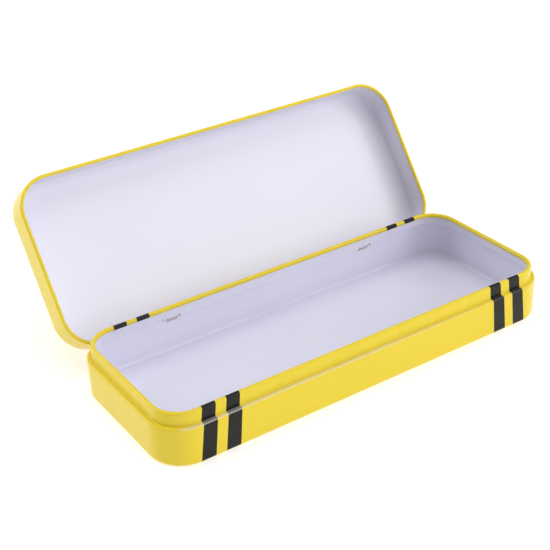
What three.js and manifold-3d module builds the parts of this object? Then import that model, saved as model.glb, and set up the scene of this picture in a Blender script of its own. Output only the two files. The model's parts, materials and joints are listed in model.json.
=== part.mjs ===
// A hinged tinplate pencil case, standing open. It is two drawn shells: a base tray with a stepped-in
// neck, and a shallow lid that drops over the neck and rests on its shoulder. Both raw edges are rolled
// inwards into hollow curls. Two tongues of the lid's sheet are rolled round bridges left between slots
// in the base's rear shoulder, and are the hinge. Millimetres, +Z up, origin at the middle of the
// underside, +X along the length, +Y towards the hinge.
import * as THREE from "three";
import { mergeVertices } from "three/addons/utils/BufferGeometryUtils.js";
import Module from "manifold-3d";

// Driving dimensions.
const LENGTH = 200;
const WIDTH = 78;
const CORNER_RADIUS = 15.5; // the outline's corners, seen from above
const SHEET = 0.3; // tinplate, with its enamel and lacquer

// The base tray.
const TRAY_HEIGHT = 24.2;
const TRAY_FOOT_RADIUS = 1.9; // wall into floor, outside
const SHOULDER_HEIGHT = 18; // top of the ledge that the lid rests on
const SHOULDER_RADIUS = 0.8; // wall into ledge, outside
const NECK_INSET = 2;
const NECK_RADIUS = 0.3; // ledge into neck, outside
const TRAY_CURL = 2.1; // the rolled rim's diameter

// The lid.
const LID_DEPTH = 15;
const LID_GAP = 0.3; // between the closed lid's rim and the ledge
const LID_EDGE_RADIUS = 1.8;
const LID_CURL = 1.6;
const OPEN_ANGLE = 126; // degrees from closed to the open stop

// The hinge. Its axis is the middle of the bridges.
const HINGE_X = 53; // each bridge's middle, from the middle of the tin
const KNUCKLE_RADIUS = 0.9; // outside of the rolled tongue
const AXIS_Y = WIDTH / 2 - KNUCKLE_RADIUS;
const AXIS_Z = 16.6;
const KNUCKLE_TURN = 300; // degrees that the tongue is rolled through
const TONGUE_WIDTH = 5;
const TONGUE_ROOT = 3; // how far above the curl the tongue and the skirt are one sheet
const SLOT_WIDTH = 7; // in the neck, and the lid's notch
const SLOT_PLAY = 0.3; // between the tongue and each end of the slot in the wall
const WALL_SLOT_WIDTH = TONGUE_WIDTH + 2 * SLOT_PLAY;
const SLOT_TOP = 17.9; // the slot in the neck ends here
const SLOT_FOOT = 14.6; // the slot in the wall ends here, and stops the open lid
const BRIDGE_DEPTH = 0.6;

// The rear shoulder is set down and pressed in between and round the two hinges.
const RECESS_HALF = 57.9;
const RECESS_RAMP = 1.2;
const RECESS_DROP = SHOULDER_HEIGHT - (AXIS_Z + SHEET / 2);
const RECESS_PRESS = 0.2;

const CUT_PAST = 1; // how far a cutting block runs past the sheet that it cuts

// How finely curves are made.
const CORNER_STEPS = 7;
const BEND_STEPS = 3;
const CURL_STEPS = 10;
const KNUCKLE_STEPS = 20;

const wasm = await Module();
wasm.setup();

// ---- profiles: points of u, the inset from the outside wall, and z ----

function arc(u, z, radius, from, to, steps, extra = {}) {
  const points = [];
  for (let i = 0; i <= steps; i++) {
    const angle = THREE.MathUtils.degToRad(from + ((to - from) * i) / steps);
    const point = { u: u + radius * Math.cos(angle), z: z + radius * Math.sin(angle) };
    points.push({ ...point, ...extra });
  }
  return points;
}

// The tray's sheet in section: out from the underside, up the outside, round the curl, and back inside.
function trayProfile() {
  const foot = TRAY_FOOT_RADIUS;
  const curl = TRAY_CURL / 2;
  const curlZ = TRAY_HEIGHT - curl;
  const curlEnd = -115; // the rolled edge stops short of the neck
  const bendZ = SHOULDER_HEIGHT - SHOULDER_RADIUS;
  const neckU = NECK_INSET - NECK_RADIUS;
  const neckZ = SHOULDER_HEIGHT + NECK_RADIUS;
  const low = { recess: 1, press: 0 };
  const pressed = { recess: 1, press: 1 };
  return [
    ...arc(foot, foot, foot, 270, 180, BEND_STEPS),
    ...arc(SHOULDER_RADIUS, bendZ, SHOULDER_RADIUS, 180, 90, BEND_STEPS, low),
    ...arc(neckU, neckZ, NECK_RADIUS, -90, 0, BEND_STEPS, pressed),
    ...arc(NECK_INSET + curl, curlZ, curl, 180, curlEnd, CURL_STEPS),
    ...arc(NECK_INSET + curl, curlZ, curl - SHEET, curlEnd, 180, CURL_STEPS),
    ...arc(neckU, neckZ, NECK_RADIUS + SHEET, 0, -90, BEND_STEPS, pressed),
    ...arc(SHOULDER_RADIUS, bendZ, SHOULDER_RADIUS - SHEET, 90, 180, BEND_STEPS, low),
    ...arc(foot, foot, foot - SHEET, 180, 270, BEND_STEPS),
  ];
}

// The closed lid's sheet in section: out from the top, down the outside, round the curl, and back up.
function lidProfile() {
  const top = SHOULDER_HEIGHT + LID_GAP + LID_DEPTH;
  const edge = LID_EDGE_RADIUS;
  const curl = LID_CURL / 2;
  const curlZ = SHOULDER_HEIGHT + LID_GAP + curl;
  const curlEnd = 460; // the rolled edge stops short of the skirt
  return [
    ...arc(edge, top - edge, edge, 90, 180, BEND_STEPS),
    ...arc(curl, curlZ, curl, 180, curlEnd, CURL_STEPS),
    ...arc(curl, curlZ, curl - SHEET, curlEnd, 180, CURL_STEPS),
    ...arc(edge, top - edge, edge - SHEET, 180, 90, BEND_STEPS),
  ];
}

// ---- the outline that a profile is carried round ----

// How far into the rear recess a place on the rear wall is, from 0 to 1.
function recessShare(x) {
  return THREE.MathUtils.smoothstep(RECESS_HALF - Math.abs(x), 0, RECESS_RAMP);
}

// Stations round the outline, anticlockwise from above: a corner's centre, the direction from it to
// the wall, and how much of the recess is there. The rear wall's own stops follow the rear right corner.
function stations(rearStops) {
  const cx = LENGTH / 2 - CORNER_RADIUS;
  const cy = WIDTH / 2 - CORNER_RADIUS;
  const rearRight = [cx, cy, 0];
  const corners = [[cx, -cy, -90], rearRight, [-cx, cy, 90], [-cx, -cy, 180]];
  const found = [];
  for (const corner of corners) {
    const [x, y, start] = corner;
    for (let i = 0; i <= CORNER_STEPS; i++) {
      const angle = THREE.MathUtils.degToRad(start + (90 * i) / CORNER_STEPS);
      found.push({ x, y, dx: Math.cos(angle), dy: Math.sin(angle), share: 0 });
    }
    if (corner === rearRight) {
      for (const stop of rearStops) {
        found.push({ x: stop, y, dx: 0, dy: 1, share: recessShare(stop) });
      }
    }
  }
  return found;
}

// Where the rear recess's edge needs stations, from right to left.
function recessStops() {
  const right = [0, 1 / 3, 2 / 3, 1].map((k) => RECESS_HALF - RECESS_RAMP * k);
  return [...right, ...right.map((x) => -x).reverse()];
}

// One closed shell: the profile carried round the stations, its first and last rings filled flat.
function shellGeometry(profile, round) {
  const positions = [];
  for (const p of profile) {
    for (const s of round) {
      const u = p.u + (p.press || 0) * RECESS_PRESS * s.share;
      const reach = CORNER_RADIUS - u;
      const z = p.z - (p.recess || 0) * RECESS_DROP * s.share;
      positions.push(s.x + s.dx * reach, s.y + s.dy * reach, z);
    }
  }
  const n = round.length;
  const index = [];
  for (let i = 0; i + 1 < profile.length; i++) {
    for (let j = 0; j < n; j++) {
      const k = (j + 1) % n;
      index.push(i * n + j, i * n + k, (i + 1) * n + k);
      index.push(i * n + j, (i + 1) * n + k, (i + 1) * n + j);
    }
  }
  const outline = round.map((s) => new THREE.Vector2(s.x + s.dx, s.y + s.dy));
  const last = (profile.length - 1) * n;
  for (const [a, b, c] of THREE.ShapeUtils.triangulateShape(outline, [])) {
    index.push(c, b, a);
    index.push(last + a, last + b, last + c);
  }
  const geometry = new THREE.BufferGeometry();
  geometry.setAttribute("position", new THREE.Float32BufferAttribute(positions, 3));
  geometry.setIndex(index);
  return geometry;
}

// The lid's profile runs downwards, so its faces are turned round.
function flipped(geometry) {
  const index = geometry.index;
  for (let i = 0; i < index.count; i += 3) {
    const a = index.getX(i);
    index.setX(i, index.getX(i + 1));
    index.setX(i + 1, a);
  }
  return geometry;
}

// ---- joining and cutting ----

function solid(geometry) {
  const bare = geometry.clone();
  bare.deleteAttribute("normal");
  bare.deleteAttribute("uv");
  const merged = mergeVertices(bare, 1e-4);
  const mesh = new wasm.Mesh({
    numProp: 3,
    vertProperties: new Float32Array(merged.attributes.position.array),
    triVerts: new Uint32Array(merged.index.array),
  });
  return new wasm.Manifold(mesh);
}

function geometryOf(made) {
  const mesh = made.getMesh();
  const geometry = new THREE.BufferGeometry();
  geometry.setAttribute("position", new THREE.BufferAttribute(mesh.vertProperties, 3));
  geometry.setIndex(new THREE.BufferAttribute(mesh.triVerts, 1));
  geometry.computeVertexNormals();
  return geometry;
}

// A block between two corners.
function block(low, high) {
  const size = high.map((value, i) => value - low[i]);
  const geometry = new THREE.BoxGeometry(...size);
  geometry.translate(...high.map((value, i) => (value + low[i]) / 2));
  return solid(geometry);
}

// A block as wide as a slot, centred on one of the hinges, from one y and z to another.
function slotBlock(side, width, [lowY, lowZ], [highY, highZ]) {
  const middle = side * HINGE_X;
  return block([middle - width / 2, lowY, lowZ], [middle + width / 2, highY, highZ]);
}

// ---- the base tray ----

function trayGeometry() {
  const bridgeFront = AXIS_Y - BRIDGE_DEPTH / 2;
  const bridgeBack = AXIS_Y + BRIDGE_DEPTH / 2;
  const neckInside = bridgeFront - NECK_INSET;
  const outside = WIDTH / 2 + CUT_PAST;
  const underLedge = AXIS_Z - KNUCKLE_RADIUS; // nothing of the neck is left to cut below this
  let tray = solid(shellGeometry(trayProfile(), stations(recessStops())));
  for (const side of [-1, 1]) {
    const neckSlot = slotBlock(side, SLOT_WIDTH, [neckInside, underLedge], [bridgeFront, SLOT_TOP]);
    const wallSlot = slotBlock(side, WALL_SLOT_WIDTH, [bridgeBack, SLOT_FOOT], [outside, SLOT_TOP]);
    tray = tray.subtract(neckSlot).subtract(wallSlot);
  }
  return geometryOf(tray);
}

// ---- the lid, closed ----

// A tongue in section, from the skirt down the outside of the bridge and round it.
function tongueShape() {
  const inner = KNUCKLE_RADIUS - SHEET;
  const skirt = SHOULDER_HEIGHT + LID_GAP + LID_CURL + TONGUE_ROOT;
  const end = -THREE.MathUtils.degToRad(KNUCKLE_TURN);
  const shape = new THREE.Shape();
  shape.moveTo(AXIS_Y + KNUCKLE_RADIUS, skirt);
  shape.lineTo(AXIS_Y + inner, skirt);
  shape.lineTo(AXIS_Y + inner, AXIS_Z);
  shape.absarc(AXIS_Y, AXIS_Z, inner, 0, end, true);
  shape.absarc(AXIS_Y, AXIS_Z, KNUCKLE_RADIUS, end, 0, false);
  shape.closePath();
  return shape;
}

function tongue(side) {
  const geometry = new THREE.ExtrudeGeometry(tongueShape(), {
    depth: TONGUE_WIDTH,
    bevelEnabled: false,
    curveSegments: KNUCKLE_STEPS,
  });
  const axes = new THREE.Matrix4().makeBasis(
    new THREE.Vector3(0, 1, 0),
    new THREE.Vector3(0, 0, 1),
    new THREE.Vector3(1, 0, 0),
  );
  geometry.applyMatrix4(axes);
  geometry.translate(side * HINGE_X - TONGUE_WIDTH / 2, 0, 0);
  return solid(geometry);
}

function lidGeometry() {
  const inside = WIDTH / 2 - LID_CURL - CUT_PAST;
  const outside = WIDTH / 2 + CUT_PAST;
  const below = SHOULDER_HEIGHT - CUT_PAST;
  const notchTop = SHOULDER_HEIGHT + LID_GAP + LID_CURL + SHEET;
  let lid = solid(flipped(shellGeometry(lidProfile(), stations([]))));
  for (const side of [-1, 1]) {
    const notch = slotBlock(side, SLOT_WIDTH, [inside, below], [outside, notchTop]);
    lid = lid.subtract(notch).add(tongue(side));
  }
  return geometryOf(lid);
}

// ---- the assembly ----

const yellowEnamel = { color: 0xf8dc33, roughness: 0.32, metalness: 0 };

function sheetPart(name, geometry) {
  const mesh = new THREE.Mesh(geometry, new THREE.MeshStandardMaterial(yellowEnamel));
  mesh.name = name;
  return mesh;
}

// The lid hangs from a group on the hinge's axis, turned back to its open stop.
function openLid() {
  const lid = sheetPart("lid", lidGeometry());
  lid.position.set(0, -AXIS_Y, -AXIS_Z);
  const hinge = new THREE.Group();
  hinge.position.set(0, AXIS_Y, AXIS_Z);
  hinge.rotation.x = -THREE.MathUtils.degToRad(OPEN_ANGLE);
  hinge.add(lid);
  return hinge;
}

const pencilCase = new THREE.Group();
pencilCase.add(sheetPart("base_tray", trayGeometry()));
pencilCase.add(openLid());

export default pencilCase;
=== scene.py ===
"""A hinged tinplate pencil case, standing open on a pale floor.

Each of its two drawn shells is one sheet: its outside skin is laid out as rows carried round the
outline, and given the thickness of tinplate. The sheet's outside is printed enamel, its inside is pale
lacquer, and its cut edges and the hinge's tongues are bare tin. Metres, in the CAD model's frame.
"""

import json
import math
from collections import namedtuple

import bmesh
import bpy
from mathutils import Matrix, Vector


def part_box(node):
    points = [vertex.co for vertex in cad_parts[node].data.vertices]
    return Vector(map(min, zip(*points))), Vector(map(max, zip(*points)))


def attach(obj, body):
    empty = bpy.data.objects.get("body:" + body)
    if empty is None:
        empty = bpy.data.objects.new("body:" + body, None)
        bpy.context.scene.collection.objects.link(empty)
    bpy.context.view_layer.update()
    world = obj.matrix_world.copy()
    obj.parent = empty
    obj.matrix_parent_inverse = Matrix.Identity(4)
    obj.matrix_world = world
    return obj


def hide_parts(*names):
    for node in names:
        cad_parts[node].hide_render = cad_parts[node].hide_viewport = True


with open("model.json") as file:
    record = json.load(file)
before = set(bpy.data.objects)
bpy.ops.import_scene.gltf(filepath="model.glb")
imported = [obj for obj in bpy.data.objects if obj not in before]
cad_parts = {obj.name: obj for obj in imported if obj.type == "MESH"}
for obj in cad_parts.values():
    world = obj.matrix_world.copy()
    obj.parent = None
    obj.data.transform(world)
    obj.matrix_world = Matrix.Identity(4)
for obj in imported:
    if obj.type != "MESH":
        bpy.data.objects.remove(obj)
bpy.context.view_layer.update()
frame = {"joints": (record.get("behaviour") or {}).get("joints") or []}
hinge = frame["joints"][0]

MM = 0.001

# The whole tin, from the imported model.
tray_low, tray_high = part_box("base_tray")
LENGTH = tray_high.x - tray_low.x
WIDTH = tray_high.y - tray_low.y
TRAY_HEIGHT = tray_high.z
AXIS = Vector(hinge["pos_m"])
OPEN_ANGLE = math.radians(hinge["range_deg"][1])

CORNER_RADIUS = 15.5 * MM
SHEET = 0.3 * MM

# The tray's section.
FOOT_RADIUS = 1.9 * MM
SHOULDER_HEIGHT = 18 * MM
SHOULDER_RADIUS = 0.8 * MM
NECK_INSET = 2 * MM
NECK_RADIUS = 0.3 * MM
TRAY_CURL = 2.1 * MM
TRAY_CURL_END = -115  # degrees

# The lid's section.
LID_TOP = 33.3 * MM  # the closed lid's outside
LID_FOOT = 18.3 * MM  # the closed lid's rolled rim
LID_EDGE_RADIUS = 1.8 * MM
LID_CURL = 1.6 * MM
LID_CURL_END = 460  # degrees

# The hinge's slots, bridges and rolled tongues.
HINGE_X = 53 * MM
TONGUE_WIDTH = 5 * MM
TONGUE_PLAY = 0.3 * MM
SLOT_WIDTH = 7 * MM  # in the neck, and the lid's notch
WALL_SLOT_WIDTH = TONGUE_WIDTH + 2 * TONGUE_PLAY
SLOT_FOOT = 14.6 * MM
SLOT_TOP = 17.9 * MM
BRIDGE_DEPTH = 0.6 * MM
KNUCKLE_RADIUS = WIDTH / 2 - AXIS.y
KNUCKLE_TURN = 300  # degrees
NOTCH_TOP = LID_FOOT + LID_CURL + SHEET  # the lid's curl is cut away for the hinge, up to here

# The rear shoulder is set down and pressed in between and round the hinges.
RECESS_HALF = 57.9 * MM
RECESS_RAMP = 1.2 * MM
RECESS_DROP = SHOULDER_HEIGHT - (AXIS.z + SHEET / 2)
RECESS_PRESS = 0.2 * MM

# The printed bands: two black bars with a gap between them, near each end of the long walls.
# Each pair's edges are given from the tin's middle, at the rim and at the foot.
BAND_INNER = (65.3 * MM, 67.4 * MM)
BAND_OUTER = (82.5 * MM, 85.6 * MM)
BAND_GAP = 4.8 * MM
BAND_FOOT = 0.5 * MM  # the print stops this far above the floor
PRINT_EDGE = 0.05 * MM
PRINT_GRAIN = 0.25 * MM

# A painted highlight along the front of the shoulder's edge, pale over the print, strongest on the left.
HIGHLIGHT_LOW = SHOULDER_HEIGHT - 0.6 * MM
HIGHLIGHT_HIGH = SHOULDER_HEIGHT + 0.1 * MM
HIGHLIGHT_SOFT = 0.15 * MM
HIGHLIGHT_FRONT = -WIDTH / 2 + NECK_INSET
HIGHLIGHT_BACK = HIGHLIGHT_FRONT + 1.2 * MM
HIGHLIGHT_RIGHT = 70 * MM
HIGHLIGHT_LEAST = 0.15  # how much of the painted highlight is left at its right end
HIGHLIGHT_DEPTH = (0.3, 0.5)  # how much the painted highlight covers the print, where it is strongest

# Colours, each as the two ends of its range where it is uneven.
YELLOW = ((0.775, 0.598, 0.032), (0.820, 0.632, 0.038))
BLACK = (0.005, 0.004, 0.003)
# The pale colour of the painted highlight on the shoulder's edge.
PAINTED_HIGHLIGHT = (0.75, 0.72, 0.62)
LACQUER_WHITE = ((0.772, 0.767, 0.901), (0.802, 0.797, 0.926))
TIN_GREY = ((0.42, 0.42, 0.47), (0.54, 0.54, 0.59))
FLOOR_GREY = (0.7, 0.7, 0.7, 1)
WHITE = (1, 1, 1, 1)

# The places of a piece's materials.
ENAMEL, LACQUER, TIN = range(3)

# How finely the sheets are made.
CORNER_STEPS = 24
BEND_STEPS = 10
BRIDGE_STEPS = 2
CURL_STEPS = 32
KNUCKLE_STEPS = 36
RAMP_STEPS = 8
PANEL_RINGS = 6
SIDE_STEP = 8 * MM
SAME_POINT = SHEET / 100  # points nearer than this are one
SHARP_ANGLE = math.radians(40)

# The camera, turned round the tin from its front and raised above the floor.
CAMERA_AIM = Vector((-12.0, 16.8, 33.2)) * MM
CAMERA_AZIMUTH = math.radians(-33.14)
CAMERA_ELEVATION = math.radians(29.68)
CAMERA_ROLL = math.radians(-2.26)
CAMERA_DISTANCE = 518.2 * MM
CAMERA_LENS = 77.7  # millimetres, as the sensor's width is
SENSOR_WIDTH = 36
CAMERA_NEAREST = 0.02

# The studio.
FLOOR_SIZE = 20
FLOOR_GLOW = 0.51
WORLD_STRENGTH = 0.12
BACKDROP_STRENGTH = 0.6  # what shows beyond the floor
SOFTBOX_DISTANCE = 1.6
SOFTBOXES = {  # the direction from the tin, the size and the power in watts
    "front": ((0, -1, 0.35), 1.4, 6.8),
    "front_right": ((0.9, -1, 0.7), 1.2, 9.6),
    "right": ((1, 0, 0.5), 1.2, 4.5),
    "rear_left": ((-0.9, 1, 0.7), 1.2, 15.8),
    "top": ((0, 0, 1), 1.4, 12.3),
}

Row = namedtuple("Row", "inset height low press slot", defaults=(0, 0, 0))
Station = namedtuple("Station", "centre outwards share on_rear")


# ---- the sections: rows of inset from the outside wall, and height ----


def arc(inset, height, radius, start, end, steps, **shares):
    """Rows round an arc, from one angle to another in degrees. Each row can hold how much of the recess's
    drop and press it takes, and how wide the hinge's slots are in the sheet between it and the next."""
    rows = []
    for i in range(steps + 1):
        angle = math.radians(start + (end - start) * i / steps)
        across, up = radius * math.cos(angle), radius * math.sin(angle)
        rows.append(Row(inset + across, height + up, **shares))
    return rows


def tray_section():
    """The tray's outside skin from the underside's edge, up the wall and neck, and round the curl."""
    curl = TRAY_CURL / 2
    bend_height = SHOULDER_HEIGHT - SHOULDER_RADIUS
    bridge_back = WIDTH / 2 - (AXIS.y + BRIDGE_DEPTH / 2)
    bridge_front = bridge_back + BRIDGE_DEPTH
    bridge_angle = math.degrees(math.acos(bridge_back / SHOULDER_RADIUS - 1))
    bend = (SHOULDER_RADIUS, bend_height, SHOULDER_RADIUS)
    neck = (NECK_INSET - NECK_RADIUS, SHOULDER_HEIGHT + NECK_RADIUS, NECK_RADIUS)
    neck_top = TRAY_HEIGHT - curl
    slot_top = SLOT_TOP + RECESS_DROP
    return [
        *arc(FOOT_RADIUS, FOOT_RADIUS, FOOT_RADIUS, 270, 180, BEND_STEPS),
        Row(0, SLOT_FOOT, slot=WALL_SLOT_WIDTH),
        *arc(*bend, 180, bridge_angle, BEND_STEPS, low=1, slot=WALL_SLOT_WIDTH)[:-1],
        *arc(*bend, bridge_angle, 90, BRIDGE_STEPS, low=1),
        Row(bridge_front, SHOULDER_HEIGHT, low=1, slot=SLOT_WIDTH),
        *arc(*neck, -90, 0, BEND_STEPS, low=1, press=1, slot=SLOT_WIDTH),
        Row(NECK_INSET, slot_top, low=1, press=0.9),
        Row(NECK_INSET, (slot_top + neck_top) / 2, low=0.5, press=0.3),
        *arc(NECK_INSET + curl, neck_top, curl, 180, TRAY_CURL_END, CURL_STEPS),
    ]


def lid_section():
    """The closed lid's outside skin from the top's edge, down the skirt and round the curl."""
    curl = LID_CURL / 2
    edge = LID_EDGE_RADIUS
    return [
        *arc(edge, LID_TOP - edge, edge, 90, 180, BEND_STEPS),
        Row(0, NOTCH_TOP, slot=SLOT_WIDTH),
        *arc(curl, LID_FOOT + curl, curl, 180, LID_CURL_END, CURL_STEPS, slot=SLOT_WIDTH),
    ]


# ---- the outline that a section is carried round ----


def steps_between(start, end, step):
    """Evenly spaced values strictly between two ends."""
    count = max(1, round(abs(end - start) / step))
    return [start + (end - start) * i / count for i in range(1, count)]


def recess_share(x):
    """How far into the rear recess a place on the rear wall is, from 0 to 1."""
    inside = min(1, max(0, (RECESS_HALF - abs(x)) / RECESS_RAMP))
    return inside * inside * (3 - 2 * inside)


def long_side_stops():
    """The places along X where the long walls have stations, the hinge's edges among them."""
    ramp_end = RECESS_HALF - RECESS_RAMP
    ramp = [ramp_end + RECESS_RAMP * i / RAMP_STEPS for i in range(RAMP_STEPS + 1)]
    widths = (SLOT_WIDTH, WALL_SLOT_WIDTH, TONGUE_WIDTH)
    edges = [HINGE_X + side * width / 2 for side in (-1, 1) for width in widths]
    marks = sorted(ramp + edges)
    inner = steps_between(-marks[0], marks[0], SIDE_STEP)
    outer = steps_between(marks[-1], LENGTH / 2 - CORNER_RADIUS, SIDE_STEP)
    right = marks + outer
    return sorted([-x for x in right] + inner + right)


def stations():
    """Stations anticlockwise round the outline, as seen from above. Each holds the point that the corner
    radius is laid out from, the way it is laid out, and its share of the rear recess."""
    cx, cy = LENGTH / 2 - CORNER_RADIUS, WIDTH / 2 - CORNER_RADIUS
    along = long_side_stops()
    across = steps_between(-cy, cy, SIDE_STEP)
    sides = [
        ([Vector((cx, y, 0)) for y in across], Vector((1, 0, 0))),
        ([Vector((x, cy, 0)) for x in reversed(along)], Vector((0, 1, 0))),
        ([Vector((-cx, y, 0)) for y in reversed(across)], Vector((-1, 0, 0))),
        ([Vector((x, -cy, 0)) for x in along], Vector((0, -1, 0))),
    ]
    corners = [Vector((x, y, 0)) for x, y in ((cx, -cy), (cx, cy), (-cx, cy), (-cx, -cy))]
    found = []
    for i, (corner, (places, outwards)) in enumerate(zip(corners, sides)):
        for k in range(CORNER_STEPS + 1):
            angle = math.radians(90 * (i - 1) + 90 * k / CORNER_STEPS)
            found.append(Station(corner, Vector((math.cos(angle), math.sin(angle), 0)), 0, False))
        rear = outwards.y > 0
        found += [Station(p, outwards, recess_share(p.x) if rear else 0, rear) for p in places]
    return found


def place(row, station):
    """The point of a section's row at a station."""
    inset = row.inset + row.press * RECESS_PRESS * station.share
    height = row.height - row.low * RECESS_DROP * station.share
    return station.centre + station.outwards * (CORNER_RADIUS - inset) + Vector((0, 0, height))


# ---- sheets ----


def add_grid(bm, rows, turned=False, closed=True, open_at=None, material=ENAMEL):
    """Quads between rows of points. Faces at which open_at(i, j) is true are left out."""
    verts = [[bm.verts.new(p) for p in row] for row in rows]
    count = len(rows[0])
    for i in range(len(rows) - 1):
        for j in range(count if closed else count - 1):
            if open_at and open_at(i, j):
                continue
            k = (j + 1) % count
            ring = [verts[i][j], verts[i][k], verts[i + 1][k], verts[i + 1][j]]
            face = bm.faces.new(reversed(ring) if turned else ring)
            face.material_index = material
            face.smooth = True


def panel_rows(edge, around):
    """Rings from the panel's middle line out to the section's first row."""
    rim = [place(edge, s) for s in around]
    half = (LENGTH - WIDTH) / 2
    core = [Vector((min(half, max(-half, p.x)), 0, p.z)) for p in rim]
    shares = [ring / PANEL_RINGS for ring in range(PANEL_RINGS)]
    return [[c.lerp(p, share) for c, p in zip(core, rim)] for share in shares]


def shell(section, turned):
    """A shell's outside skin: its flat panel, then its section carried round the outline."""
    around = stations()
    panel = panel_rows(section[0], around)
    rows = panel + [[place(row, s) for s in around] for row in section]

    def in_slot(i, j):
        if i < len(panel):
            return False
        a, b = around[j], around[(j + 1) % len(around)]
        middle = abs(a.centre.x + b.centre.x) / 2
        slot = section[i - len(panel)].slot
        return a.on_rear and b.on_rear and abs(middle - HINGE_X) < slot / 2

    bm = bmesh.new()
    add_grid(bm, rows, turned=turned, open_at=in_slot)
    return bm


def add_tongue(bm, side):
    """The lid's tongue: straight down from the skirt, then rolled round the bridge."""
    half = TONGUE_WIDTH / 2 + SAME_POINT
    stops = [x for x in long_side_stops() if abs(x - side * HINGE_X) < half]
    skirt = WIDTH / 2
    section = [(skirt, NOTCH_TOP), (skirt, (NOTCH_TOP + AXIS.z) / 2)]
    for i in range(KNUCKLE_STEPS + 1):
        angle = -math.radians(KNUCKLE_TURN * i / KNUCKLE_STEPS)
        out, up = KNUCKLE_RADIUS * math.cos(angle), KNUCKLE_RADIUS * math.sin(angle)
        section.append((AXIS.y + out, AXIS.z + up))
    rows = [[Vector((x, y, z)) for x in stops] for y, z in section]
    add_grid(bm, rows, closed=False, material=TIN)


def thicken(piece):
    """Gives a skin the thickness of the sheet, with lacquer inside and bare tin at the cut edges."""
    thick = piece.modifiers.new("sheet", "SOLIDIFY")
    thick.thickness = SHEET
    thick.offset = -1
    thick.use_even_offset = True
    thick.material_offset = LACQUER
    thick.material_offset_rim = TIN
    evaluated = piece.evaluated_get(bpy.context.evaluated_depsgraph_get())
    solid = bpy.data.meshes.new_from_object(evaluated)
    piece.modifiers.clear()
    piece.data = solid
    solid.set_sharp_from_angle(angle=SHARP_ANGLE)


def sheet_piece(name, bm, body, node, materials):
    """A piece made of one sheet, from its outside skin."""
    bmesh.ops.remove_doubles(bm, verts=bm.verts, dist=SAME_POINT)
    mesh = bpy.data.meshes.new(name)
    bm.to_mesh(mesh)
    bm.free()
    for material in materials:
        mesh.materials.append(material)
    piece = bpy.data.objects.new(name, mesh)
    bpy.context.scene.collection.objects.link(piece)
    thicken(piece)
    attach(piece, body)
    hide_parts(node)


def build_tray(materials):
    skin = shell(tray_section(), turned=False)
    sheet_piece("tray_shell", skin, "tray", "base_tray", materials)


def build_lid(materials):
    """The lid, laid out closed and then turned open about the hinge."""
    skin = shell(lid_section(), turned=True)
    for side in (-1, 1):
        add_tongue(skin, side)
    turn = Matrix.Rotation(-OPEN_ANGLE, 4, "X")
    opened = Matrix.Translation(AXIS) @ turn @ Matrix.Translation(-AXIS)
    bmesh.ops.transform(skin, matrix=opened, verts=skin.verts)
    sheet_piece("lid_shell", skin, "lid", "lid", materials)


# ---- materials ----


class Nodes:
    """A material's node tree, with short ways of adding what the materials share."""

    def __init__(self, name):
        self.material = bpy.data.materials.new(name)
        self.material.use_nodes = True
        self.tree = self.material.node_tree
        self.shader = self.tree.nodes["Principled BSDF"]
        self.place = self.add("ShaderNodeTexCoord").outputs["Object"]

    def add(self, kind, **settings):
        node = self.tree.nodes.new(kind)
        for key, value in settings.items():
            setattr(node, key, value)
        return node

    def link(self, source, target):
        self.tree.links.new(source, target)

    def noise(self, size, detail=0, stretch=(1, 1, 1)):
        """Noise with features of a size in metres, drawn out along each axis by a stretch."""
        mapping = self.add("ShaderNodeMapping")
        mapping.inputs["Scale"].default_value = [1 / (size * s) for s in stretch]
        texture = self.add("ShaderNodeTexNoise")
        texture.inputs["Scale"].default_value = 1
        texture.inputs["Detail"].default_value = detail
        self.link(self.place, mapping.inputs["Vector"])
        self.link(mapping.outputs["Vector"], texture.inputs["Vector"])
        return texture.outputs["Fac"]

    def ranged(self, value, low, high, to_low, to_high):
        """A value brought from one range to another, and held within it."""
        node = self.add("ShaderNodeMapRange")
        self.link(value, node.inputs["Value"])
        node.inputs["From Min"].default_value = low
        node.inputs["From Max"].default_value = high
        node.inputs["To Min"].default_value = to_low
        node.inputs["To Max"].default_value = to_high
        return node.outputs["Result"]

    def between(self, share, low, high):
        """A share from 0 to 1, as a value between two ends."""
        return self.ranged(share, 0, 1, low, high)

    def rising(self, value, low, high):
        """0 below a low value, 1 above a high one, and a ramp between them."""
        return self.ranged(value, low, high, 0, 1)

    def falling(self, value, low, high):
        """1 below a low value, 0 above a high one, and a ramp between them."""
        return self.ranged(value, low, high, 1, 0)

    def maths(self, operation, first, second=None):
        """One operation, on values or sockets."""
        node = self.add("ShaderNodeMath", operation=operation)
        for socket, value in zip(node.inputs, (first, second)):
            if isinstance(value, (int, float)):
                socket.default_value = value
            elif value is not None:
                self.link(value, socket)
        return node.outputs["Value"]

    def product(self, first, *others):
        for other in others:
            first = self.maths("MULTIPLY", first, other)
        return first

    def mixed(self, share, first, second):
        """A colour between two colours, each a value or a socket."""
        node = self.add("ShaderNodeMix", data_type="RGBA")
        self.link(share, node.inputs["Factor"])
        sockets = [socket for socket in node.inputs if socket.type == "RGBA"]
        for socket, value in zip(sockets, (first, second)):
            if isinstance(value, tuple):
                socket.default_value = (*value, 1)
            else:
                self.link(value, socket)
        return next(socket for socket in node.outputs if socket.type == "RGBA")

    def bumped(self, *layers):
        """Bumps on the shader, each layer a height socket and its depth in metres."""
        normal = None
        for height, depth in layers:
            node = self.add("ShaderNodeBump")
            node.inputs["Distance"].default_value = depth
            self.link(height, node.inputs["Height"])
            if normal:
                self.link(normal, node.inputs["Normal"])
            normal = node.outputs["Normal"]
        self.link(normal, self.shader.inputs["Normal"])


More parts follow.
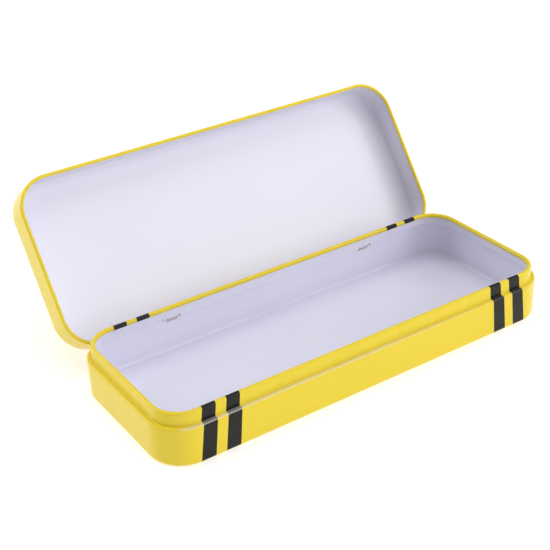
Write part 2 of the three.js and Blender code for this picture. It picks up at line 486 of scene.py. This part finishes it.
def band_mask(nodes):
    """1 where the print is black: two bars by the ends of the long walls, not on the underside."""
    xyz = nodes.add("ShaderNodeSeparateXYZ")
    nodes.link(nodes.place, xyz.inputs["Vector"])
    ragged = nodes.between(nodes.noise(PRINT_GRAIN), -PRINT_EDGE, PRINT_EDGE)
    along = nodes.maths("ABSOLUTE", nodes.maths("ADD", xyz.outputs["X"], ragged))
    inner = nodes.ranged(xyz.outputs["Z"], 0, TRAY_HEIGHT, *reversed(BAND_INNER))
    outer = nodes.ranged(xyz.outputs["Z"], 0, TRAY_HEIGHT, *reversed(BAND_OUTER))
    past_inner = nodes.maths("SUBTRACT", along, inner)
    short_of_outer = nodes.maths("SUBTRACT", outer, along)
    from_edge = nodes.maths("MINIMUM", past_inner, short_of_outer)
    from_gap = nodes.maths("ABSOLUTE", nodes.maths("SUBTRACT", past_inner, short_of_outer))
    within = nodes.rising(from_edge, 0, PRINT_EDGE)
    beyond = nodes.rising(from_gap, BAND_GAP, BAND_GAP + PRINT_EDGE)
    above = nodes.rising(xyz.outputs["Z"], BAND_FOOT, BAND_FOOT + PRINT_EDGE)
    return nodes.product(within, beyond, above)


def painted_highlight_mask(nodes):
    """How much of the painted highlight shows along the front of the shoulder's edge."""
    xyz = nodes.add("ShaderNodeSeparateXYZ")
    nodes.link(nodes.place, xyz.inputs["Vector"])
    above = nodes.rising(xyz.outputs["Z"], HIGHLIGHT_LOW, HIGHLIGHT_LOW + HIGHLIGHT_SOFT)
    below = nodes.falling(xyz.outputs["Z"], HIGHLIGHT_HIGH - HIGHLIGHT_SOFT, HIGHLIGHT_HIGH)
    front = nodes.falling(xyz.outputs["Y"], HIGHLIGHT_FRONT, HIGHLIGHT_BACK)
    leftward = nodes.ranged(xyz.outputs["X"], 0, HIGHLIGHT_RIGHT, 1, HIGHLIGHT_LEAST)
    uneven = nodes.between(nodes.noise(14 * MM), *HIGHLIGHT_DEPTH)
    return nodes.product(above, below, front, leftward, uneven)


def make_enamel(name, banded):
    """Glossy printed enamel: ink of very slightly uneven depth under a clear varnish."""
    nodes = Nodes(name)
    colour = nodes.mixed(nodes.noise(35 * MM), *YELLOW)
    if banded:
        printed = nodes.mixed(band_mask(nodes), colour, BLACK)
        # Painted highlight: a pale line over the print along the front of the shoulder's edge.
        colour = nodes.mixed(painted_highlight_mask(nodes), printed, PAINTED_HIGHLIGHT)
    nodes.link(colour, nodes.shader.inputs["Base Color"])
    rough = nodes.between(nodes.noise(18 * MM), 0.20, 0.34)
    nodes.link(rough, nodes.shader.inputs["Roughness"])
    nodes.shader.inputs["Specular IOR Level"].default_value = 0.22
    nodes.shader.inputs["Coat Weight"].default_value = 0.1
    nodes.shader.inputs["Coat Roughness"].default_value = 0.1
    wave = nodes.noise(24 * MM, stretch=(2, 1, 1))
    nodes.bumped((wave, 0.04 * MM))
    return nodes.material


def make_lacquer():
    """Pale satin lacquer, with a roller's faint texture and fine rub marks along the tin."""
    nodes = Nodes("inside_lacquer")
    colour = nodes.mixed(nodes.noise(40 * MM), *LACQUER_WHITE)
    nodes.link(colour, nodes.shader.inputs["Base Color"])
    rubbed = nodes.noise(2 * MM, stretch=(10, 1, 1))
    rough = nodes.between(rubbed, 0.33, 0.27)
    nodes.link(rough, nodes.shader.inputs["Roughness"])
    nodes.shader.inputs["Coat Weight"].default_value = 0.4
    nodes.shader.inputs["Coat Roughness"].default_value = 0.08
    grain = nodes.noise(0.45 * MM)
    wave = nodes.noise(28 * MM, stretch=(2, 1, 1))
    nodes.bumped((grain, 0.003 * MM), (wave, 0.15 * MM))
    return nodes.material


def make_tin():
    """Bare tinplate, rolled along the tongue."""
    nodes = Nodes("bare_tin")
    rolled = nodes.noise(0.12 * MM, detail=3, stretch=(1, 20, 20))
    streaks = nodes.rising(rolled, 0.3, 0.7)
    nodes.link(nodes.mixed(streaks, *TIN_GREY), nodes.shader.inputs["Base Color"])
    rough = nodes.between(streaks, 0.42, 0.28)
    nodes.link(rough, nodes.shader.inputs["Roughness"])
    nodes.shader.inputs["Metallic"].default_value = 0.9
    nodes.bumped((streaks, 0.003 * MM))
    return nodes.material


# ---- the studio ----


def make_floor():
    """A plain pale floor that glows, so that it looks white round the tin."""
    half = FLOOR_SIZE / 2
    corners = [(-half, -half, 0), (half, -half, 0), (half, half, 0), (-half, half, 0)]
    mesh = bpy.data.meshes.new("floor")
    mesh.from_pydata(corners, [], [(0, 1, 2, 3)])
    floor = bpy.data.objects.new("floor", mesh)
    bpy.context.scene.collection.objects.link(floor)
    nodes = Nodes("floor_white")
    nodes.shader.inputs["Base Color"].default_value = FLOOR_GREY
    nodes.shader.inputs["Roughness"].default_value = 0.9
    nodes.shader.inputs["Specular IOR Level"].default_value = 0
    nodes.shader.inputs["Emission Color"].default_value = WHITE
    nodes.shader.inputs["Emission Strength"].default_value = FLOOR_GLOW
    mesh.materials.append(nodes.material)


def make_world():
    """A faint white light from all round, behind a brighter backdrop that only the camera sees."""
    world = bpy.data.worlds.new("studio")
    world.use_nodes = True
    tree = world.node_tree
    background = tree.nodes["Background"]
    background.inputs["Color"].default_value = WHITE
    seen = tree.nodes.new("ShaderNodeLightPath").outputs["Is Camera Ray"]
    strength = tree.nodes.new("ShaderNodeMapRange")
    strength.inputs["To Min"].default_value = WORLD_STRENGTH
    strength.inputs["To Max"].default_value = BACKDROP_STRENGTH
    tree.links.new(seen, strength.inputs["Value"])
    tree.links.new(strength.outputs["Result"], background.inputs["Strength"])
    bpy.context.scene.world = world


def make_softbox(name, direction, size, power):
    """A square area light that faces the tin from a direction."""
    light = bpy.data.lights.new(name, "AREA")
    light.shape = "SQUARE"
    light.size = size
    light.energy = power
    lamp = bpy.data.objects.new(name, light)
    towards = Vector(direction).normalized()
    lamp.location = CAMERA_AIM + towards * SOFTBOX_DISTANCE
    lamp.rotation_mode = "QUATERNION"
    lamp.rotation_quaternion = towards.to_track_quat("Z", "Y")
    bpy.context.scene.collection.objects.link(lamp)


def camera_turn():
    """The camera's turn, and the direction from the tin to the camera."""
    level = math.cos(CAMERA_ELEVATION)
    x, y = math.sin(CAMERA_AZIMUTH) * level, -math.cos(CAMERA_AZIMUTH) * level
    back = Vector((x, y, math.sin(CAMERA_ELEVATION)))
    right = Vector((0, 0, 1)).cross(back).normalized()
    axes = Matrix((right, back.cross(right), back)).transposed()
    return (axes @ Matrix.Rotation(CAMERA_ROLL, 3, "Z")).to_4x4(), back


def make_camera():
    turn, back = camera_turn()
    camera = bpy.data.objects.new("camera", bpy.data.cameras.new("camera"))
    camera.data.sensor_width = SENSOR_WIDTH
    camera.data.lens = CAMERA_LENS
    camera.data.clip_start = CAMERA_NEAREST
    camera.data.clip_end = FLOOR_SIZE
    camera.matrix_world = Matrix.Translation(CAMERA_AIM + back * CAMERA_DISTANCE) @ turn
    bpy.context.scene.collection.objects.link(camera)
    bpy.context.scene.camera = camera


bpy.context.scene.view_settings.view_transform = "Standard"
make_camera()
make_world()
make_floor()
for name, settings in SOFTBOXES.items():
    make_softbox(name, *settings)
lacquer, tin = make_lacquer(), make_tin()
build_tray([make_enamel("banded_enamel", True), lacquer, tin])
build_lid([make_enamel("plain_enamel", False), lacquer, tin])
